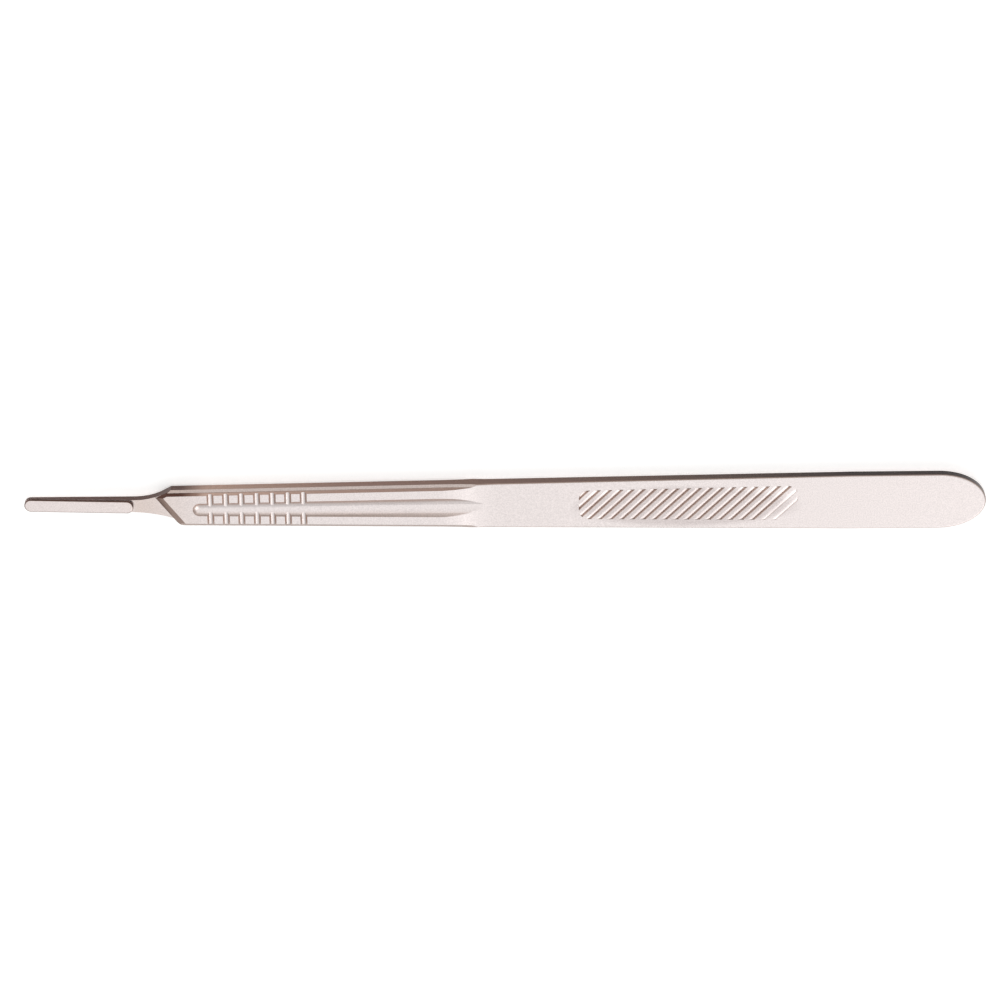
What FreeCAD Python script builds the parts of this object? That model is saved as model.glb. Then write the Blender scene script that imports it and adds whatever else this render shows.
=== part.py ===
import FreeCAD, Part

import math
import os

import Sketcher
from FreeCAD import Placement, Rotation, Vector

# A long scalpel handle, struck from one bar of stainless steel, for blades of the larger fitting.
# It is drawn with the tip of the nose at x = 0, the butt towards +X and its mid-plane at z = 0.
# The blade's back is towards +Y and its edge towards -Y. All lengths are in millimetres.

doc = FreeCAD.newDocument("scalpel_handle")

# Driving sizes, each with the word that the features below know it by.
sheet = doc.addObject("Spreadsheet::Sheet", "sizes")
DRIVING_SIZES = [
    # the whole handle
    ("overall_length", 210),
    ("shoulder_width", 8.6),
    ("shoulder_station", 32.2),
    ("rear_width", 13.0),
    ("butt_width", 13.1),
    ("butt_length", 10.3),
    ("butt_straight", 19.2),
    ("front_thickness", 4.5),
    ("waist_thickness", 2.75),
    ("butt_thickness", 2.2),
    ("drop_start", 90.5),
    ("drop_length", 12),
    ("rear_rim_radius", 0.35),
    ("stock_allowance", 1),
    # the hollow bevels along the front half
    ("bevel_run", 1.0),
    ("side_land", 2.1),
    ("bevel_floor_angle", 28),
    ("bevel_wall_angle", 69),
    ("bevel_radius", 0.28),
    ("bevel_lead", 8),
    ("bevel_lean", 29),
    ("bevel_lift_start", 91),
    ("bevel_lift_radius", 90),
    ("bevel_lift_length", 14),
    # the valley between the two rails
    ("valley_start", 38.4),
    ("valley_length", 62.6),
    ("valley_front_width", 3.05),
    ("valley_front_depth", 0.55),
    ("valley_rear_width", 4.76),
    ("valley_rear_depth", 0.86),
    # the finger grooves across the rails
    ("finger_groove_first", 40.76),
    ("finger_groove_pitch", 3.383),
    ("finger_groove_count", 7),
    ("finger_groove_width", 1.5),
    ("finger_groove_depth", 0.5),
    # the slanted grip pad
    ("pad_start", 121.1),
    ("pad_length", 47.8),
    ("pad_inset", 2.15),
    ("pad_corner_radius", 2.2),
    ("pad_groove_angle", 45),
    ("pad_groove_pitch", 2.417),
    ("pad_groove_count", 19),
    ("pad_faint_count", 2),
    ("pad_faint_depth", 0.09),
    ("pad_first_wall", 120.05),
    ("pad_groove_depth", 0.28),
    ("pad_groove_ramp", 0.85),
    ("pad_groove_wall", 0.22),
    ("pad_end_slope", 45),
    # the neck, its shoulder and the nose that the blade slides onto
    ("shoulder_foot", 30.6),
    ("shoulder_angle", 37),
    ("shoulder_slope_run", 1.68),
    ("shoulder_corner_radius", 2.6),
    ("neck_seat_height", 0.95),
    ("nose_underside", 0.95),
    ("nose_width", 2.9),
    ("nose_offset", 0.42),
    ("neck_back_start", 24.3),
    ("neck_back_radius", 14),
    ("neck_edge_start", 23),
    ("neck_edge_radius", 30),
    ("boss_length", 23.9),
    ("boss_tip_height", 0.55),
    ("boss_rear_height", 1.85),
    ("boss_rim_radius", 0.3),
    ("rail_tip_thickness", 0.7),
    ("rail_gap", 0.45),
    ("rail_inset", 0.35),
]
for row, (word, number) in enumerate(DRIVING_SIZES, start=1):
    sheet.set(f"A{row}", word)
    sheet.set(f"B{row}", str(number))
    sheet.setAlias(f"B{row}", word)
doc.recompute()

# Sizes that follow from the driving ones, as expressions.
TAPER_END = "(sizes.overall_length - sizes.butt_length - sizes.butt_straight)"
TAPER_RISE = "(sizes.rear_width - sizes.shoulder_width) / 2"
TAPER = f"atan({TAPER_RISE} / ({TAPER_END} - sizes.shoulder_station))"
FRONT_HALF = "(sizes.front_thickness / 2)"
WAIST_HALF = "(sizes.waist_thickness / 2)"
BUTT_HALF = "(sizes.butt_thickness / 2)"
DROP_END = "(sizes.drop_start + sizes.drop_length)"
FACE_FALL = f"atan(({WAIST_HALF} - {BUTT_HALF}) / (sizes.overall_length - {DROP_END}))"
STOCK_TOP = f"({FRONT_HALF} + sizes.stock_allowance)"


def value(expression):
    """The number that an expression over the driving sizes gives."""
    result = sheet.evalExpression(expression)
    return float(getattr(result, "Value", result))


def plane_of(body, role):
    return next(item for item in body.Origin.OriginFeatures if item.Role == role)


def fix(feature, support, shift=(), turn=None):
    """Attaches a sketch or a solid to a plane, moved and turned on it by expressions."""
    feature.AttachmentSupport = (support, [""])
    feature.MapMode = "FlatFace"
    if turn:
        axis, angle = turn
        feature.AttachmentOffset = Placement(Vector(), Rotation(axis, value(angle)))
        feature.setExpression("AttachmentOffset.Rotation.Angle", angle)
    for axis, distance in shift:
        feature.setExpression(f"AttachmentOffset.Base.{axis}", distance)


def sketch_on(body, name, role, shift=(), turn=None):
    """A sketch on one of the body's own planes."""
    sketch = body.newObject("Sketcher::SketchObject", name)
    fix(sketch, plane_of(body, role), shift, turn)
    return sketch


def tie(sketch, expression, *constraint):
    """Adds a constraint whose size is an expression over the driving sizes."""
    size = value(expression)
    if constraint[0] == "Angle":
        size = math.radians(size)
    index = sketch.addConstraint(Sketcher.Constraint(*constraint, size))
    sketch.setExpression(f"Constraints[{index}]", expression)


def place(sketch, edge, end, x, y):
    """Ties one end of an edge to a place in the sketch."""
    tie(sketch, x, "DistanceX", -1, 1, edge, end)
    tie(sketch, y, "DistanceY", -1, 1, edge, end)


def point(x, y):
    return Vector(value(x), value(y), 0)


def line(sketch, start, end):
    return sketch.addGeometry(Part.LineSegment(start, end), False)


def arc(sketch, centre, radius, first_degrees, last_degrees):
    """An arc drawn anticlockwise between two directions from its centre."""
    circle = Part.Circle(centre, Vector(0, 0, 1), radius)
    span = math.radians(first_degrees), math.radians(last_degrees)
    return sketch.addGeometry(Part.ArcOfCircle(circle, *span), False)


def meet(sketch, kind, first, first_end, second, second_end):
    sketch.addConstraint(Sketcher.Constraint(kind, first, first_end, second, second_end))


def polygon(sketch, corners):
    """A closed ring of straight lines, each corner tied to a pair of expressions."""
    points = [point(x, y) for x, y in corners]
    edges = [line(sketch, start, end) for start, end in zip(points, points[1:] + points[:1])]
    for edge, ahead in zip(edges, edges[1:] + edges[:1]):
        meet(sketch, "Coincident", edge, 2, ahead, 1)
    for edge, (x, y) in zip(edges, corners):
        place(sketch, edge, 1, x, y)
    return edges


def pocket_through(body, name, sketch):
    """A pocket that leaves the stock on both sides of its sketch."""
    pocket = body.newObject("PartDesign::Pocket", name)
    pocket.Profile = sketch
    pocket.Type = "ThroughAll"
    pocket.SideType = "Symmetric"
    return pocket


def pad(body, name, sketch, length):
    feature = body.newObject("PartDesign::Pad", name)
    feature.Profile = sketch
    feature.setExpression("Length", length)
    return feature


def draw_plan(sketch):
    """The outline seen from above: nose, neck, shoulder, tapered grip and rounded butt."""
    back = "(sizes.nose_offset + sizes.nose_width / 2)"
    edge = "(sizes.nose_offset - sizes.nose_width / 2)"
    butt_centre = "(sizes.overall_length - sizes.butt_length)"
    slant = value("sizes.shoulder_angle")
    taper = value(TAPER)
    shoulder = value("sizes.shoulder_station")

    nose_radius = value("sizes.nose_width / 2")
    nose = arc(sketch, point("sizes.nose_width / 2", "sizes.nose_offset"), nose_radius, 90, 270)

    edge_end = point("sizes.neck_edge_start", edge)
    nose_edge = line(sketch, point("sizes.nose_width / 2", edge), edge_end)
    radius = value("sizes.neck_edge_radius")
    swing = math.degrees(math.asin((shoulder - edge_end.x) / radius))
    neck_edge = arc(sketch, edge_end - Vector(0, radius, 0), radius, 90 - swing, 90)

    foot = edge_end + Vector(shoulder - edge_end.x, -radius * (1 - math.cos(math.radians(swing))), 0)
    corner_y = -value("sizes.shoulder_width / 2")
    corner_x = foot.x + (foot.y - corner_y) * math.tan(math.radians(slant))
    shoulder_line = line(sketch, foot, Vector(corner_x - 0.5, corner_y + 0.7, 0))
    radius = value("sizes.shoulder_corner_radius")
    corner = arc(sketch, Vector(corner_x + 0.9, corner_y + radius, 0), radius, 180 + slant, 270 - taper)

    rear_edge = point(TAPER_END, "-sizes.rear_width / 2")
    butt_edge = point(butt_centre, "-sizes.butt_width / 2")
    butt_back = point(butt_centre, "sizes.butt_width / 2")
    rear_back = point(TAPER_END, "sizes.rear_width / 2")
    grip_edge = line(sketch, Vector(corner_x + 0.9, corner_y, 0), rear_edge)
    butt_lead = line(sketch, rear_edge, butt_edge)
    middle = point(butt_centre, "0")
    ellipse = Part.Ellipse(point("sizes.overall_length", "0"), butt_back, middle)
    butt = sketch.addGeometry(Part.ArcOfEllipse(ellipse, -math.pi / 2, math.pi / 2), False)
    butt_trail = line(sketch, butt_back, rear_back)

    back_end = point("sizes.neck_back_start", back)
    radius = value("sizes.neck_back_radius")
    swing = math.degrees(math.asin((shoulder - back_end.x) / radius))
    grip_back = line(sketch, rear_back, point("sizes.shoulder_station", "sizes.shoulder_width / 2"))
    neck_back = arc(sketch, back_end + Vector(0, radius, 0), radius, 270, 270 + swing)
    nose_back = line(sketch, back_end, point("sizes.nose_width / 2", back))

    meet(sketch, "Tangent", nose, 2, nose_edge, 1)
    meet(sketch, "Tangent", nose_edge, 2, neck_edge, 2)
    meet(sketch, "Coincident", neck_edge, 1, shoulder_line, 1)
    meet(sketch, "Tangent", shoulder_line, 2, corner, 1)
    meet(sketch, "Tangent", corner, 2, grip_edge, 1)
    meet(sketch, "Coincident", grip_edge, 2, butt_lead, 1)
    meet(sketch, "Coincident", butt_lead, 2, butt, 1)
    meet(sketch, "Coincident", butt, 2, butt_trail, 1)
    meet(sketch, "Coincident", butt_trail, 2, grip_back, 1)
    meet(sketch, "Coincident", grip_back, 2, neck_back, 2)
    meet(sketch, "Tangent", neck_back, 1, nose_back, 1)
    meet(sketch, "Tangent", nose_back, 2, nose, 1)

    place(sketch, nose, 3, "sizes.nose_width / 2", "sizes.nose_offset")
    tie(sketch, "sizes.nose_width / 2", "Radius", nose)
    sketch.addConstraint(Sketcher.Constraint("Horizontal", nose_edge))
    sketch.addConstraint(Sketcher.Constraint("Horizontal", nose_back))
    tie(sketch, "sizes.neck_edge_start", "DistanceX", -1, 1, nose_edge, 2)
    tie(sketch, "sizes.neck_back_start", "DistanceX", -1, 1, nose_back, 1)
    tie(sketch, "sizes.neck_edge_radius", "Radius", neck_edge)
    tie(sketch, "sizes.neck_back_radius", "Radius", neck_back)
    tie(sketch, "sizes.shoulder_angle * 1 deg - 90 deg", "Angle", shoulder_line)
    tie(sketch, "sizes.shoulder_foot * cos(sizes.shoulder_angle)", "Distance", -1, 1, shoulder_line)
    tie(sketch, "sizes.shoulder_corner_radius", "Radius", corner)
    tie(sketch, f"-{TAPER}", "Angle", grip_edge)
    place(sketch, grip_edge, 2, TAPER_END, "-sizes.rear_width / 2")
    place(sketch, grip_back, 1, TAPER_END, "sizes.rear_width / 2")
    tie(sketch, f"{TAPER} - 180 deg", "Angle", grip_back)
    place(sketch, butt_trail, 1, butt_centre, "sizes.butt_width / 2")
    tie(sketch, butt_centre, "DistanceX", -1, 1, butt_lead, 2)
    tie(sketch, butt_centre, "DistanceX", -1, 1, butt, 3)
    sketch.addConstraint(Sketcher.Constraint("PointOnObject", butt, 3, -1))
    sketch.exposeInternalGeometry(butt)
    long_axis = nose_back + 1
    sketch.addConstraint(Sketcher.Constraint("Horizontal", long_axis))
    tie(sketch, "sizes.butt_length * 2", "Distance", long_axis)


def draw_face_profile(sketch):
    """The stock above the upper face, seen from the side: a level front, an S-shaped drop, a slow fall."""
    ahead = "-sizes.stock_allowance"
    behind = "(sizes.overall_length + sizes.stock_allowance)"
    top = f"({STOCK_TOP} + sizes.stock_allowance)"
    tail = f"{WAIST_HALF} - ({behind} - {DROP_END}) * tan({FACE_FALL})"
    drop, run = value(f"{FRONT_HALF} - {WAIST_HALF}"), value("sizes.drop_length")
    radius = (run**2 + drop**2) / (4 * drop)
    swing = math.degrees(math.asin(run / 2 / radius))
    start, end = point("sizes.drop_start", FRONT_HALF), point(DROP_END, WAIST_HALF)

    level = line(sketch, point(ahead, FRONT_HALF), start)
    crest = arc(sketch, start - Vector(0, radius, 0), radius, 90 - swing, 90)
    trough = arc(sketch, end + Vector(0, radius, 0), radius, 270 - swing, 270)
    fall = line(sketch, end, point(behind, tail))
    rise = line(sketch, point(behind, tail), point(behind, top))
    lid = line(sketch, point(behind, top), point(ahead, top))
    front = line(sketch, point(ahead, top), point(ahead, FRONT_HALF))

    meet(sketch, "Tangent", level, 2, crest, 2)
    meet(sketch, "Tangent", crest, 1, trough, 1)
    meet(sketch, "Tangent", trough, 2, fall, 1)
    meet(sketch, "Coincident", fall, 2, rise, 1)
    meet(sketch, "Coincident", rise, 2, lid, 1)
    meet(sketch, "Coincident", lid, 2, front, 1)
    meet(sketch, "Coincident", front, 2, level, 1)
    sketch.addConstraint(Sketcher.Constraint("Horizontal", level))
    sketch.addConstraint(Sketcher.Constraint("Equal", crest, trough))
    place(sketch, level, 1, ahead, FRONT_HALF)
    tie(sketch, "sizes.drop_start", "DistanceX", -1, 1, level, 2)
    place(sketch, fall, 1, DROP_END, WAIST_HALF)
    place(sketch, rise, 1, behind, tail)
    place(sketch, lid, 1, behind, top)
    place(sketch, front, 1, ahead, top)


def draw_bevel_section(sketch):
    """A bevel of the front half: a slanting floor, a small round and a steep wall up to the face."""
    outside = "sizes.stock_allowance"
    inside = "-sizes.bevel_run"
    foot = "sizes.side_land / 2"
    top = f"({STOCK_TOP} + sizes.stock_allowance)"
    floor_angle, wall_angle = value("sizes.bevel_floor_angle"), value("sizes.bevel_wall_angle")
    floor_slope, wall_slope = math.tan(math.radians(floor_angle)), math.tan(math.radians(wall_angle))
    height, run = value(f"{FRONT_HALF} - {foot}"), value("sizes.bevel_run")
    reach = (wall_slope * run - height) / (wall_slope - floor_slope)
    knee = Vector(-reach, value(foot) + reach * floor_slope, 0)
    radius = value("sizes.bevel_radius")
    middle = math.radians((floor_angle + wall_angle) / 2)
    setback = radius / math.cos(math.radians((wall_angle - floor_angle) / 2))
    centre = knee + Vector(math.sin(middle), math.cos(middle), 0) * setback

    wall = line(sketch, point(inside, FRONT_HALF), knee)
    hollow = arc(sketch, centre, radius, 270 - wall_angle, 270 - floor_angle)
    floor = line(sketch, knee, point("0", foot))
    clear = line(sketch, point("0", foot), point(outside, foot))
    side = line(sketch, point(outside, foot), point(outside, top))
    lid = line(sketch, point(outside, top), point(inside, top))
    drop = line(sketch, point(inside, top), point(inside, FRONT_HALF))
    ring = [floor, clear, side, lid, drop]
    for edge, ahead in zip(ring, ring[1:] + [wall]):
        meet(sketch, "Coincident", edge, 2, ahead, 1)
    meet(sketch, "Tangent", wall, 2, hollow, 1)
    meet(sketch, "Tangent", hollow, 2, floor, 1)
    tie(sketch, "sizes.bevel_radius", "Radius", hollow)
    tie(sketch, "-sizes.bevel_wall_angle * 1 deg", "Angle", wall)
    tie(sketch, "-sizes.bevel_floor_angle * 1 deg", "Angle", floor)
    place(sketch, wall, 1, inside, FRONT_HALF)
    place(sketch, clear, 1, "0", foot)
    place(sketch, side, 1, outside, foot)
    place(sketch, lid, 1, outside, top)
    place(sketch, drop, 1, inside, top)


def draw_bevel_path(sketch):
    """The cutter runs level along the edge, then lifts out in a long curve where the face drops."""
    lead = "-sizes.bevel_lead"
    lift = f"((sizes.bevel_lift_start - sizes.shoulder_station) / cos({TAPER}))"
    radius = value("sizes.bevel_lift_radius")
    swing = math.degrees(math.asin(value("sizes.bevel_lift_length") / radius))
    level = line(sketch, point(lead, "0"), point(lift, "0"))
    curve = arc(sketch, point(lift, "0") + Vector(0, radius, 0), radius, 270, 270 + swing)
    meet(sketch, "Tangent", level, 2, curve, 1)
    sketch.addConstraint(Sketcher.Constraint("PointOnObject", level, 1, -1))
    sketch.addConstraint(Sketcher.Constraint("Horizontal", level))
    tie(sketch, lead, "DistanceX", -1, 1, level, 1)
    tie(sketch, lift, "DistanceX", -1, 1, level, 2)
    tie(sketch, "sizes.bevel_lift_radius", "Radius", curve)
    tie(sketch, f"{lift} + sizes.bevel_lift_length", "DistanceX", -1, 1, curve, 2)


def draw_valley_section(sketch, width, depth, shares):
    """The valley's round floor, in arcs that share half its swing, and the stock above it."""
    radius = f"(({width} ^ 2 / 4 + {depth} ^ 2) / (2 * {depth}))"
    half_swing = f"asin({width} / 2 / {radius})"
    height = f"({FRONT_HALF} - {depth} + {radius})"
    top = f"({STOCK_TOP} + sizes.stock_allowance)"
    size, swing, centre = value(radius), value(half_swing), point("0", height)
    first_share = 1 - sum(shares)
    direction = 270 + swing * first_share
    floor = []
    for share in shares:
        floor.append(arc(sketch, centre, size, direction, direction + swing * share))
        direction += swing * share
    start = centre + Rotation(Vector(0, 0, 1), swing * first_share).multVec(Vector(0, -size, 0))
    end = point(f"{width} / 2", FRONT_HALF)
    rise = line(sketch, end, Vector(end.x, value(top), 0))
    lid = line(sketch, Vector(end.x, value(top), 0), Vector(start.x, value(top), 0))
    drop = line(sketch, Vector(start.x, value(top), 0), start)
    ring = [*floor, rise, lid, drop]
    for edge, ahead in zip(ring, ring[1:] + ring[:1]):
        meet(sketch, "Coincident", edge, 2, ahead, 1)
    for edge in floor[1:]:
        meet(sketch, "Coincident", edge, 3, floor[0], 3)
    for edge, share in zip(floor, shares):
        tie(sketch, f"{half_swing} * {share}", "Angle", edge)
    place(sketch, floor[0], 3, "0", height)
    tie(sketch, radius, "Radius", floor[0])
    tie(sketch, f"{width} / 2", "DistanceX", -1, 1, rise, 1)
    sketch.addConstraint(Sketcher.Constraint("Vertical", rise))
    sketch.addConstraint(Sketcher.Constraint("Horizontal", lid))
    sketch.addConstraint(Sketcher.Constraint("Vertical", drop))
    tie(sketch, top, "DistanceY", -1, 1, rise, 2)


def draw_slot(sketch, start, end, middle, radius):
    """A long outline with both ends round, along X."""
    size = value(radius)
    front_centre, rear_centre = point(f"{start} + {radius}", middle), point(f"{end} - {radius}", middle)
    across = Vector(0, size, 0)
    front = arc(sketch, front_centre, size, 90, 270)
    rear = arc(sketch, rear_centre, size, 270, 450)
    low = line(sketch, front_centre - across, rear_centre - across)
    high = line(sketch, rear_centre + across, front_centre + across)
    meet(sketch, "Tangent", front, 2, low, 1)
    meet(sketch, "Tangent", low, 2, rear, 1)
    meet(sketch, "Tangent", rear, 2, high, 1)
    meet(sketch, "Tangent", high, 2, front, 1)
    place(sketch, front, 3, f"{start} + {radius}", middle)
    tie(sketch, f"{end} - {radius}", "DistanceX", -1, 1, rear, 3)
    sketch.addConstraint(Sketcher.Constraint("Horizontal", low))
    sketch.addConstraint(Sketcher.Constraint("Equal", front, rear))
    tie(sketch, radius, "Radius", front)


def draw_die_outline(sketch):
    """What is trimmed off the ribs: all round a panel that keeps its distance from both edges."""
    reach = "(sizes.rear_width * 4)"
    polygon(
        sketch,
        [
            (f"{PAD_FRONT} - {reach}", f"-{reach}"),
            (f"{PAD_REAR} + {reach}", f"-{reach}"),
            (f"{PAD_REAR} + {reach}", reach),
            (f"{PAD_FRONT} - {reach}", reach),
        ],
    )
    front, rear = value(PAD_FRONT), value(PAD_REAR)
    corner = value("sizes.pad_corner_radius")
    taper = math.radians(value(TAPER))
    station, half = value(f"sizes.shoulder_station - {DROP_END}"), value("sizes.shoulder_width / 2")

    def inner(x):
        return half + (x - station) * math.tan(taper) - value("sizes.pad_inset") / math.cos(taper)

    low, high = inner(front), inner(rear)
    head = line(sketch, Vector(front, low - corner, 0), Vector(front, corner - low, 0))
    head_edge = arc(sketch, Vector(front + corner, corner - low, 0), corner, 180, 270)
    edge = line(sketch, Vector(front + corner, -low, 0), Vector(rear - corner, -high, 0))
    tail_edge = arc(sketch, Vector(rear - corner, corner - high, 0), corner, 270, 360)
    tail = line(sketch, Vector(rear, corner - high, 0), Vector(rear, high - corner, 0))
    tail_back = arc(sketch, Vector(rear - corner, high - corner, 0), corner, 0, 90)
    back = line(sketch, Vector(rear - corner, high, 0), Vector(front + corner, low, 0))
    head_back = arc(sketch, Vector(front + corner, low - corner, 0), corner, 90, 180)
    ring = [head, head_edge, edge, tail_edge, tail, tail_back, back, head_back]
    for first, second in zip(ring, ring[1:] + ring[:1]):
        meet(sketch, "Tangent", first, 2, second, 1)
    for other in (tail_edge, tail_back, head_back):
        sketch.addConstraint(Sketcher.Constraint("Equal", head_edge, other))
    tie(sketch, "sizes.pad_corner_radius", "Radius", head_edge)
    sketch.addConstraint(Sketcher.Constraint("Vertical", head))
    sketch.addConstraint(Sketcher.Constraint("Vertical", tail))
    tie(sketch, PAD_FRONT, "DistanceX", -1, 1, head, 1)
    tie(sketch, PAD_REAR, "DistanceX", -1, 1, tail, 1)
    for side, sign in ((edge, "-"), (back, "")):
        near = point(f"sizes.shoulder_station - {DROP_END}", f"{sign}sizes.shoulder_width / 2")
        far = point(f"{TAPER_END} - {DROP_END}", f"{sign}sizes.rear_width / 2")
        guide = sketch.addGeometry(Part.LineSegment(near, far), True)
        place(sketch, guide, 1, f"sizes.shoulder_station - {DROP_END}", f"{sign}sizes.shoulder_width / 2")
        place(sketch, guide, 2, f"{TAPER_END} - {DROP_END}", f"{sign}sizes.rear_width / 2")
        sketch.addConstraint(Sketcher.Constraint("Parallel", side, guide))
        tie(sketch, "sizes.pad_inset", "Distance", side, 1, guide)


def draw_rib_section(sketch, depth):
    """A rib of the die: a back that curves away ever steeper, a short wall, and the plate behind it."""
    radius = f"((sizes.pad_groove_ramp ^ 2 + {depth} ^ 2) / (2 * {depth}))"
    size, deepest = value(radius), point("-sizes.pad_groove_ramp", f"-{depth}")
    swing = math.degrees(math.asin(-deepest.x / size))
    end = point(f"-{RIB_END}", "0")
    plate = value("sizes.stock_allowance")
    back = arc(sketch, Vector(0, -size, 0), size, 90, 90 + swing)
    wall = line(sketch, deepest, end)
    rear = line(sketch, end, Vector(end.x, plate, 0))
    lid = line(sketch, Vector(end.x, plate, 0), Vector(0, plate, 0))
    front = line(sketch, Vector(0, plate, 0), Vector())
    meet(sketch, "Coincident", back, 2, wall, 1)
    meet(sketch, "Coincident", wall, 2, rear, 1)
    meet(sketch, "Coincident", rear, 2, lid, 1)
    meet(sketch, "Coincident", lid, 2, front, 1)
    meet(sketch, "Coincident", front, 2, back, 1)
    place(sketch, back, 1, "0", "0")
    place(sketch, back, 3, "0", f"-{radius}")
    tie(sketch, "-sizes.pad_groove_ramp", "DistanceX", -1, 1, back, 2)
    place(sketch, wall, 2, f"-{RIB_END}", "0")
    place(sketch, rear, 2, f"-{RIB_END}", "sizes.stock_allowance")
    place(sketch, lid, 2, "0", "sizes.stock_allowance")


def mirrored(body, name, originals, role):
    feature = body.newObject("PartDesign::Mirrored", name)
    feature.Originals = originals
    feature.MirrorPlane = (plane_of(body, role), [""])
    body.Tip = feature
    return feature


def repeated(body, name, original, spacing, count):
    """Copies of one cut or pad, evenly spaced along X."""
    feature = body.newObject("PartDesign::LinearPattern", name)
    feature.Originals = [original]
    feature.Direction = (plane_of(body, "X_Axis"), [""])
    feature.Mode = "Spacing"
    feature.setExpression("Offset", spacing)
    feature.setExpression("Occurrences", count)
    body.Tip = feature
    return feature


body = doc.addObject("PartDesign::Body", "scalpel_handle")
body.Label = "scalpel_handle"

# Upper half of the blank, a little thicker than the finished front.
plan = sketch_on(body, "plan_outline", "XY_Plane")
draw_plan(plan)
blank = pad(body, "half_blank", plan, STOCK_TOP)

# The face is brought down to its level front, its drop and its thin rear.
face_profile = sketch_on(body, "face_profile", "XZ_Plane")
draw_face_profile(face_profile)
pocket_through(body, "face", face_profile)

# A bevel runs along each edge of the front half and fades out in the drop.
upright = Vector(0, 1, 0)
bevel_path = sketch_on(
    body,
    "bevel_path",
    "XZ_Plane",
    [("x", "sizes.shoulder_station"), ("z", "-sizes.shoulder_width / 2")],
    (upright, TAPER),
)
draw_bevel_path(bevel_path)
bevel_section = sketch_on(
    body,
    "bevel_section",
    "YZ_Plane",
    [
        ("x", f"sizes.shoulder_width / 2 - sizes.bevel_lead * sin({TAPER})"),
        ("z", f"sizes.shoulder_station - sizes.bevel_lead * cos({TAPER})"),
    ],
    (upright, TAPER),
)
draw_bevel_section(bevel_section)
bevel = body.newObject("PartDesign::SubtractivePipe", "back_bevel")
bevel.Profile = bevel_section
bevel.Spine = (bevel_path, ["Edge1", "Edge2"])
doc.recompute()
bevels = mirrored(body, "edge_bevel", [bevel], "XZ_Plane")
doc.recompute()

# Behind the bevels the edges of the thin rear are rounded, right round the butt.
rear_edges = [
    f"Edge{number}"
    for number, edge in enumerate(bevels.Shape.Edges, start=1)
    if edge.BoundBox.ZMin > value(BUTT_HALF) / 2
    and edge.BoundBox.XMax > value(DROP_END) - 0.1
    and edge.BoundBox.XLength > 1
]
rear_rim = body.newObject("PartDesign::Fillet", "rear_rim")
rear_rim.Base = (bevels, rear_edges)
rear_rim.setExpression("Radius", "sizes.rear_rim_radius")
body.Tip = rear_rim

# Where the back turns in towards the neck, only the bevel's steep wall goes on.
LAND_TOP = "(sizes.side_land / 2)"
WALL_TOP = f"(-({FRONT_HALF} - {LAND_TOP}) / tan(sizes.bevel_wall_angle))"
neck_section = sketch_on(
    body,
    "neck_bevel_section",
    "YZ_Plane",
    [("x", "sizes.shoulder_width / 2"), ("z", "sizes.shoulder_station")],
    (upright, "sizes.bevel_lean * 1 deg"),
)
polygon(
    neck_section,
    [
        ("0", LAND_TOP),
        ("sizes.stock_allowance", LAND_TOP),
        ("sizes.stock_allowance", f"{STOCK_TOP} + sizes.stock_allowance"),
        (WALL_TOP, f"{STOCK_TOP} + sizes.stock_allowance"),
        (WALL_TOP, FRONT_HALF),
    ],
)
pocket_through(body, "neck_bevel", neck_section)
doc.recompute()

# The valley between the rails is round across, grows towards the rear and runs out in the drop.
VALLEY_END = "(sizes.valley_start + sizes.valley_length)"
front_section = sketch_on(body, "valley_front_section", "YZ_Plane", [("z", "sizes.valley_start")])
draw_valley_section(front_section, "sizes.valley_front_width", "sizes.valley_front_depth", [0.4] * 5)
rear_section = sketch_on(body, "valley_rear_section", "YZ_Plane", [("z", VALLEY_END)])
draw_valley_section(rear_section, "sizes.valley_rear_width", "sizes.valley_rear_depth", [0.4] * 5)
doc.recompute()
valley = body.newObject("PartDesign::SubtractiveLoft", "valley")
valley.Profile = front_section
valley.Sections = [rear_section]
valley.Ruled = True
doc.recompute()

# Its front end is round from above too.
end_section = sketch_on(body, "valley_end_section", "XZ_Plane", [("x", "sizes.valley_start")])
draw_valley_section(end_section, "sizes.valley_front_width", "sizes.valley_front_depth", [0.2, 0.4, 0.4])
doc.recompute()
valley_end = body.newObject("PartDesign::Groove", "valley_front_end")
valley_end.Profile = end_section
valley_end.ReferenceAxis = (end_section, ["V_Axis"])
valley_end.Angle = 360
doc.recompute()

# Finger grooves: one round cut straight across, repeated along the rails.
GROOVE_SPAN = "(sizes.finger_groove_width ^ 2 / 4 + sizes.finger_groove_depth ^ 2)"
groove_radius = f"({GROOVE_SPAN} / (2 * sizes.finger_groove_depth))"
groove_sketch = sketch_on(body, "finger_groove_section", "XZ_Plane")
centre_height = f"{FRONT_HALF} - sizes.finger_groove_depth + {groove_radius}"
groove_centre = point("sizes.finger_groove_first", centre_height)
groove_sketch.addGeometry(Part.Circle(groove_centre, Vector(0, 0, 1), value(groove_radius)), False)
place(groove_sketch, 0, 3, "sizes.finger_groove_first", centre_height)
tie(groove_sketch, groove_radius, "Radius", 0)
finger_groove = pocket_through(body, "finger_groove", groove_sketch)
doc.recompute()
finger_grooves = repeated(
    body, "finger_grooves", finger_groove, "sizes.finger_groove_pitch", "sizes.finger_groove_count"
)

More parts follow.
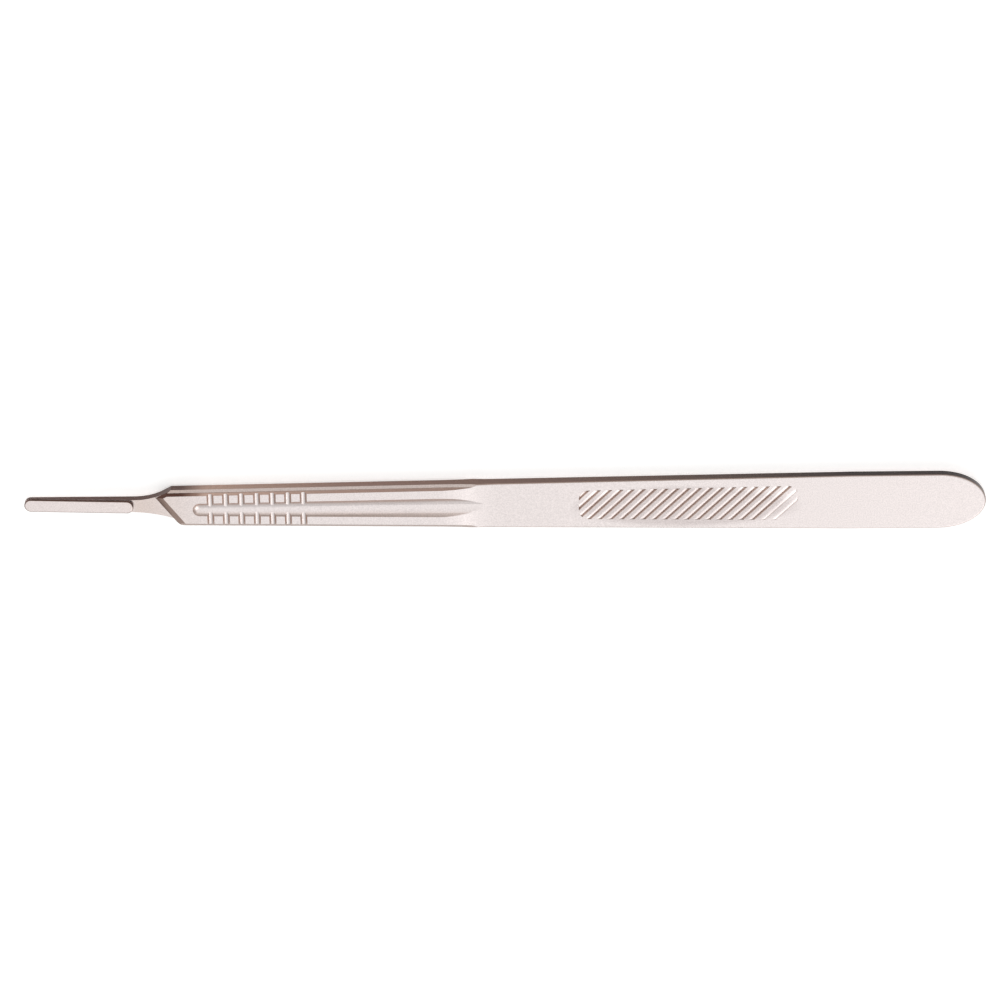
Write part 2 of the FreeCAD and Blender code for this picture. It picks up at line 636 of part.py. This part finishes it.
# The slanted grip pad is struck by a die of its own, whose ribs stand in the plane of the rear face.
# The last two, at the rear, bite much less than the others.
die = doc.addObject("PartDesign::Body", "pad_die")
die.AllowCompound = True
RIB_END = "(sizes.pad_groove_ramp + sizes.pad_groove_wall)"
RIB_ANGLE = "sizes.pad_groove_angle * 1 deg"
PAD_FRONT = f"(sizes.pad_start - {DROP_END})"
PAD_REAR = f"({PAD_FRONT} + sizes.pad_length)"
ribs = [
    ("rib", "sizes.pad_groove_depth", "0", "sizes.pad_groove_count"),
    ("faint_rib", "sizes.pad_faint_depth", "sizes.pad_groove_count", "sizes.pad_faint_count"),
]
for name, depth, earlier, count in ribs:
    wall_station = f"(sizes.pad_first_wall + {earlier} * sizes.pad_groove_pitch)"
    station = [("z", f"{wall_station} - {DROP_END} - {RIB_END} / sin({RIB_ANGLE})")]
    rib_sketch = sketch_on(die, f"{name}_section", "YZ_Plane", station, (upright, RIB_ANGLE))
    draw_rib_section(rib_sketch, depth)
    rib = pad(die, name, rib_sketch, "sizes.rear_width * 4")
    rib.SideType = "Symmetric"
    doc.recompute()
    repeated(die, f"{name}s", rib, "sizes.pad_groove_pitch", count)
    doc.recompute()
outline_sketch = sketch_on(die, "die_outline", "XY_Plane")
draw_die_outline(outline_sketch)
trim = die.newObject("PartDesign::Pocket", "die_trim")
trim.Profile = outline_sketch
trim.setExpression("Length", "sizes.stock_allowance")
trim.setExpression("TaperAngle", "-sizes.pad_end_slope")
die.Placement = Placement(Vector(), Rotation(upright, value(FACE_FALL)))
die.setExpression("Placement.Base.x", DROP_END)
die.setExpression("Placement.Base.z", WAIST_HALF)
die.setExpression("Placement.Rotation.Angle", FACE_FALL)
doc.recompute()
grip_pad = body.newObject("PartDesign::Boolean", "grip_pad")
grip_pad.Type = "Cut"
grip_pad.setObjects([die])
doc.recompute()

# The reverse is struck like the face.
whole = body.newObject("PartDesign::Mirrored", "both_faces")
whole.TransformMode = "Whole shape"
whole.MirrorPlane = (plane_of(body, "XY_Plane"), [""])
body.Tip = whole
doc.recompute()

# In front of the slanted shoulder both faces are cut down to the neck and the nose.
relief = sketch_on(body, "shoulder_section", "XZ_Plane", turn=(upright, "sizes.shoulder_angle * 1 deg"))
FOOT = "(sizes.shoulder_foot * cos(sizes.shoulder_angle))"
SLOPE = f"(sizes.shoulder_slope_run / ({FRONT_HALF} - sizes.neck_seat_height))"
for side, level in (("", "sizes.neck_seat_height"), ("-", "sizes.nose_underside")):
    polygon(
        relief,
        [
            ("-sizes.shoulder_foot", f"{side}{level}"),
            (FOOT, f"{side}{level}"),
            (f"{FOOT} + ({STOCK_TOP} - {level}) * {SLOPE}", f"{side}{STOCK_TOP}"),
            ("-sizes.shoulder_foot", f"{side}{STOCK_TOP}"),
        ],
    )
pocket_through(body, "shoulder", relief)

# The boss that holds the blade stands on the nose and slopes down to its tip.
boss_sketch = sketch_on(body, "boss_outline", "XY_Plane")
draw_slot(boss_sketch, "0", "sizes.boss_length", "sizes.nose_offset", "(sizes.nose_width / 2)")
pad(body, "boss", boss_sketch, STOCK_TOP)
slope_sketch = sketch_on(body, "boss_slope_section", "XZ_Plane")
BOSS_RISE = "((sizes.boss_rear_height - sizes.boss_tip_height) / sizes.boss_length)"
polygon(
    slope_sketch,
    [
        ("-sizes.stock_allowance", f"sizes.boss_tip_height - {BOSS_RISE} * sizes.stock_allowance"),
        (
            "sizes.boss_length + sizes.stock_allowance",
            f"sizes.boss_rear_height + {BOSS_RISE} * sizes.stock_allowance",
        ),
        ("sizes.boss_length + sizes.stock_allowance", f"{STOCK_TOP} + sizes.stock_allowance"),
        ("-sizes.stock_allowance", f"{STOCK_TOP} + sizes.stock_allowance"),
    ],
)
boss_slope = pocket_through(body, "boss_slope", slope_sketch)
doc.recompute()
on_boss = [
    face
    for face in boss_slope.Shape.Faces
    if face.BoundBox.ZMin > 0 and face.BoundBox.XMax < value("sizes.boss_length + sizes.rail_gap")
]
boss_top = max(on_boss, key=lambda face: face.Area)
rim = body.newObject("PartDesign::Fillet", "boss_rim")
rim_edges = [
    f"Edge{number}"
    for number, edge in enumerate(boss_slope.Shape.Edges, start=1)
    if any(edge.isSame(other) for other in boss_top.Edges)
]
rim.Base = (boss_slope, rim_edges)
rim.setExpression("Radius", "sizes.boss_rim_radius")
body.Tip = rim
doc.recompute()

# Under its cap runs the groove that the blade's slot slides along, from the nose's tip up to the seat.
RAIL_FLOOR = "(sizes.rail_tip_thickness - sizes.nose_underside)"
RAIL_TILT = f"-atan((sizes.neck_seat_height - {RAIL_FLOOR}) / sizes.boss_length)"
rail_sketch = sketch_on(body, "rail_outline", "XY_Plane", [("z", RAIL_FLOOR)], (upright, RAIL_TILT))
draw_slot(
    rail_sketch,
    "sizes.rail_inset",
    "(sizes.boss_length - sizes.rail_inset)",
    "sizes.nose_offset",
    "(sizes.nose_width / 2 - sizes.rail_inset)",
)
polygon(
    rail_sketch,
    [
        ("-sizes.stock_allowance", "-sizes.nose_width"),
        ("sizes.boss_length + sizes.stock_allowance", "-sizes.nose_width"),
        ("sizes.boss_length + sizes.stock_allowance", "sizes.nose_width"),
        ("-sizes.stock_allowance", "sizes.nose_width"),
    ],
)
rail_groove = body.newObject("PartDesign::Pocket", "rail_groove")
rail_groove.Profile = rail_sketch
rail_groove.Reversed = True
rail_groove.setExpression("Length", "sizes.rail_gap")
body.Tip = rail_groove
doc.recompute()

# The handle lies flat with the middle of its base at the origin.
body.setExpression("Placement.Base.x", "-sizes.overall_length / 2")
body.setExpression("Placement.Base.z", FRONT_HALF)
doc.recompute()

for item in body.Group + die.Group:
    if item.isDerivedFrom("PartDesign::Feature"):
        print(item.Label, round(item.Shape.Volume, 1))
for item in doc.Objects:
    if "Invalid" in item.State or "Error" in item.State:
        raise RuntimeError(f"{item.Label} did not build")
for item in doc.findObjects("Sketcher::SketchObject"):
    if not item.FullyConstrained:
        raise RuntimeError(f"{item.Label} is loose")
if body.Shape.isNull() or not body.Shape.isValid() or len(body.Shape.Solids) != 1:
    raise RuntimeError("the handle is not one sound solid")

os.makedirs("parts", exist_ok=True)
body.Shape.exportStep("parts/scalpel_handle.step")
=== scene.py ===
import math

import bpy
from mathutils import Matrix, Vector

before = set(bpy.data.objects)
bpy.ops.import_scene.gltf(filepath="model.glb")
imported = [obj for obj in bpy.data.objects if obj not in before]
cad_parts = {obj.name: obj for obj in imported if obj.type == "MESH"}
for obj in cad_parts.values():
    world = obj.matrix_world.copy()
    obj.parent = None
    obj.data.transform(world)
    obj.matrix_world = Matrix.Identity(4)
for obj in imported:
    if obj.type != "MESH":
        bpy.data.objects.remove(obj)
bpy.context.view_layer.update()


# The handle is one bar of stainless steel: forged, milled along its front half, struck with the grip pad,
# and then tumbled among small stones to an even satin. This gives the eye a fine grain on the faces and a
# soft shine on every edge.
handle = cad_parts["scalpel_handle"]


def colour(text):
    """An sRGB hex value as the linear colour that a shader takes."""
    parts = [int(text[i : i + 2], 16) / 255 for i in (1, 3, 5)]
    return (*[c / 12.92 if c <= 0.04045 else ((c + 0.055) / 1.055) ** 2.4 for c in parts], 1)


def add(material, kind, inputs=(), **settings):
    """A node with its settings, and its sockets set to a value or linked from another node's output."""
    node = material.node_tree.nodes.new(kind)
    for name, setting in settings.items():
        setattr(node, name, setting)
    for socket, given in dict(inputs).items():
        if isinstance(given, bpy.types.NodeSocket):
            material.node_tree.links.new(given, node.inputs[socket])
        else:
            node.inputs[socket].default_value = given
    return node


satin_steel = bpy.data.materials.new("satin_steel")
satin_steel.use_nodes = True
shader = satin_steel.node_tree.nodes["Principled BSDF"]
shader.inputs["Metallic"].default_value = 1
# Tumbling rounds every edge by six hundredths of a millimetre, which catches the light as a thin line.
edge_radius = 0.00006
rounded = add(satin_steel, "ShaderNodeBevel", {"Radius": edge_radius}, samples=6)
place_on_bar = add(satin_steel, "ShaderNodeTexCoord")
station = add(satin_steel, "ShaderNodeSeparateXYZ", {"Vector": place_on_bar.outputs["Object"]})
# The way along the bar, from 0 at the tip to 1 at the butt.
half_length = 0.105
along = add(
    satin_steel,
    "ShaderNodeMapRange",
    {"Value": station.outputs["X"], "From Min": -half_length, "From Max": half_length},
)
# The flat faces are rubbed bright, a little browner on the neck behind the boss.
faces = add(satin_steel, "ShaderNodeValToRGB", {"Fac": along.outputs["Result"]})
faces.color_ramp.elements[0].color = colour("#EEE3E0")
faces.color_ramp.elements[1].color = colour("#EBE2E0")
faces.color_ramp.elements[1].position = 0.2
faces.color_ramp.elements.new(0.108).color = colour("#EEE3E0")
faces.color_ramp.elements.new(0.118).color = colour("#E0D1CA")
# The sides and steep walls carry painted shade and painted dark reflections, lighter along the front half
# and darker on the nose and the neck and, more and more, along the rear half.
painted_side_shade = add(satin_steel, "ShaderNodeValToRGB", {"Fac": along.outputs["Result"]})
painted_side_shade.color_ramp.elements[0].color = colour("#5A4540")
painted_side_shade.color_ramp.elements[1].color = colour("#2A1E1C")
painted_side_shade.color_ramp.elements[0].position = 0.165
painted_side_shade.color_ramp.elements[1].position = 0.86
painted_side_shade.color_ramp.elements.new(0.19).color = colour("#B3A098")
painted_side_shade.color_ramp.elements.new(0.34).color = colour("#8B766F")
# The faces on the grip pad are coloured a little darker than the faces round it.
pad_middle = (0.0395, -0.0006, 0)
pad_half_size = (0.0258, 0.0052, 1)
on_pad = add(
    satin_steel,
    "ShaderNodeMapping",
    {"Vector": place_on_bar.outputs["Object"], "Location": pad_middle, "Scale": pad_half_size},
    vector_type="TEXTURE",
)
pad_gradient = add(
    satin_steel,
    "ShaderNodeTexGradient",
    {"Vector": on_pad.outputs["Vector"]},
    gradient_type="SPHERICAL",
)
pad_weight = add(satin_steel, "ShaderNodeMapRange", {"Value": pad_gradient.outputs["Fac"], "From Max": 0.2})
pad_darkened = add(
    satin_steel,
    "ShaderNodeMix",
    {"Factor": pad_weight.outputs["Result"], "A": faces.outputs["Color"], "B": colour("#D6CCCA")},
    data_type="RGBA",
)
# Slopes and steep walls take the painted shade of the sides, and what lies flat keeps the faces' colour.
# Before the finger grooves it reaches flatter slopes too, painting the shoulder's slope and the boss's rims
# dark.
behind_shoulder = -0.069
before_grooves = -0.066
shade_threshold = add(
    satin_steel,
    "ShaderNodeMapRange",
    {
        "Value": station.outputs["X"],
        "From Min": behind_shoulder,
        "From Max": before_grooves,
        "To Min": 0.74,
        "To Max": 0.2,
    },
)
facing = add(satin_steel, "ShaderNodeSeparateXYZ", {"Vector": place_on_bar.outputs["Normal"]})
flatness = add(satin_steel, "ShaderNodeMath", {0: facing.outputs["Z"]}, operation="ABSOLUTE")
unshaded_weight = add(
    satin_steel,
    "ShaderNodeMapRange",
    {"Value": flatness.outputs["Value"], "From Min": shade_threshold.outputs["Result"], "From Max": 0.88},
)
# Painted shade: the steep parts are mixed towards the dark side colour, the flat parts keep the face colour.
shade = add(
    satin_steel,
    "ShaderNodeMix",
    {"Factor": unshaded_weight.outputs["Result"], "A": painted_side_shade.outputs["Color"], "B": pad_darkened.outputs["Result"]},
    data_type="RGBA",
)
# A faint brown painted shade lies on every slope and in the grooves, and none on the flats.
painted_slope_shade = add(satin_steel, "ShaderNodeValToRGB", {"Fac": flatness.outputs["Value"]})
painted_slope_shade.color_ramp.elements[0].color = colour("#EEDDD2")
painted_slope_shade.color_ramp.elements[1].color = colour("#FFFFFF")
painted_slope_shade.color_ramp.elements[0].position = 0.8
painted_slope_shade.color_ramp.elements[1].position = 0.98
slope_shaded = add(
    satin_steel,
    "ShaderNodeVectorMath",
    {0: shade.outputs["Result"], 1: painted_slope_shade.outputs["Color"]},
    operation="MULTIPLY",
)
# The grain of the satin is some hundredths of a millimetre, too fine to see here, so it is drawn coarser, at
# about three tenths.
grains_per_metre = 3500
grain = add(
    satin_steel,
    "ShaderNodeTexNoise",
    {
        "Vector": place_on_bar.outputs["Object"],
        "Scale": grains_per_metre,
        "Detail": 3,
        "Roughness": 0.65,
    },
)
depth = add(
    satin_steel,
    "ShaderNodeMapRange",
    {"Value": grain.outputs["Fac"], "From Min": 0.3, "From Max": 0.7, "To Min": 0.84, "To Max": 1.08},
)
grained = add(
    satin_steel,
    "ShaderNodeVectorMath",
    {0: slope_shaded.outputs["Vector"], 1: depth.outputs["Result"]},
    operation="MULTIPLY",
)
satin_steel.node_tree.links.new(grained.outputs["Vector"], shader.inputs["Base Color"])
# The satin is smoother in some patches than in others, each some four millimetres wide, as the stones have
# struck them more or less.
patches_per_metre = 260
patches = add(
    satin_steel,
    "ShaderNodeTexNoise",
    {
        "Vector": place_on_bar.outputs["Object"],
        "Scale": patches_per_metre,
        "Detail": 2,
        "Roughness": 0.5,
    },
)
satin = add(
    satin_steel,
    "ShaderNodeMapRange",
    {"Value": patches.outputs["Fac"], "To Min": 0.26, "To Max": 0.36},
)
satin_steel.node_tree.links.new(satin.outputs["Result"], shader.inputs["Roughness"])
grain_depth = 0.00002
relief = add(
    satin_steel,
    "ShaderNodeBump",
    {
        "Strength": 0.25,
        "Distance": grain_depth,
        "Height": grain.outputs["Fac"],
        "Normal": rounded.outputs["Normal"],
    },
)
satin_steel.node_tree.links.new(relief.outputs["Normal"], shader.inputs["Normal"])
for slot in handle.material_slots:
    slot.material = satin_steel


# The floor is a sheet of white card, matt and even. A glow that only the eye, reflections and clear bodies
# see lifts it to white, and the card keeps the handle's shadow.
bpy.ops.object.select_all(action="DESELECT")
bpy.ops.mesh.primitive_plane_add(size=6)
floor = bpy.context.object
floor.name = "floor"
white_card = bpy.data.materials.new("white_card")
white_card.use_nodes = True
card = white_card.node_tree.nodes["Principled BSDF"]
card.inputs["Base Color"].default_value = colour("#FAFAF9")
card.inputs["Roughness"].default_value = 0.9
card.inputs["Specular IOR Level"].default_value = 0.1
card.inputs["Emission Color"].default_value = colour("#FFFFFF")
ray = add(white_card, "ShaderNodeLightPath")
seen = add(
    white_card,
    "ShaderNodeMath",
    {0: ray.outputs["Is Camera Ray"], 1: ray.outputs["Is Glossy Ray"]},
    operation="MAXIMUM",
)
seen_through = add(
    white_card,
    "ShaderNodeMath",
    {0: seen.outputs["Value"], 1: ray.outputs["Is Transmission Ray"]},
    operation="MAXIMUM",
)
glow_strength = 0.42
glow = add(
    white_card,
    "ShaderNodeMath",
    {0: seen_through.outputs["Value"], 1: glow_strength},
    operation="MULTIPLY",
)
white_card.node_tree.links.new(glow.outputs["Value"], card.inputs["Emission Strength"])
floor.data.materials.append(white_card)


# The studio has dim grey walls and four soft boxes: a wide one overhead, one on the edge's side towards the
# butt that picks out the grooves, and two faint ones, in front of the edge and behind the tip.
world = bpy.data.worlds.new("studio")
world.use_nodes = True
world.node_tree.nodes["Background"].inputs["Color"].default_value = colour("#FFFFFF")
world.node_tree.nodes["Background"].inputs["Strength"].default_value = 0.45
bpy.context.scene.world = world


def soft_box(name, direction, distance, width, depth, power):
    """A rectangular lamp that faces the handle from a direction, in metres and watts."""
    towards = Vector(direction).normalized()
    bpy.ops.object.light_add(type="AREA", location=towards * distance)
    lamp = bpy.context.object
    lamp.name = name
    lamp.data.shape = "RECTANGLE"
    lamp.data.size = width
    lamp.data.size_y = depth
    lamp.data.energy = power
    lamp.rotation_euler = towards.to_track_quat("Z", "Y").to_euler()


soft_box("overhead", (0, -0.08, 1), distance=0.8, width=1.2, depth=1.1, power=2.45)
soft_box("butt_side", (0.42, -0.67, 0.61), distance=2.0, width=1.2, depth=1.1, power=5.6)
soft_box("front", (0, -1, 0.62), distance=1.2, width=1.2, depth=0.8, power=0.6)
soft_box("tip_back", (-0.8, 0.5, 0.32), distance=1.4, width=0.9, depth=0.6, power=2.4)


# The camera has a long lens and looks steeply down on the handle from its back, so that the long side
# there shows too. It is turned a little, so that the bar rises slightly to the right.
tilt = math.radians(27)
roll = math.radians(0.476)
distance = 0.9105
right = Vector((1, 0, 0))
up = Vector((0, math.cos(tilt), -math.sin(tilt)))
back = right.cross(up)
camera_right = right * math.cos(roll) - up * math.sin(roll)
camera_up = up * math.cos(roll) + right * math.sin(roll)
middle = Vector((-0.00109, 0, 0.00225))
above_middle = 0.000625
aim = middle + up * above_middle
bpy.ops.object.camera_add()
camera = bpy.context.object
turn = Matrix((camera_right, camera_up, back)).transposed().to_4x4()
camera.matrix_world = Matrix.Translation(aim + back * distance) @ turn
camera.data.lens = 150
camera.data.sensor_width = 36
camera.data.clip_start = 0.01
bpy.context.scene.camera = camera
bpy.context.scene.view_settings.view_transform = "Standard"
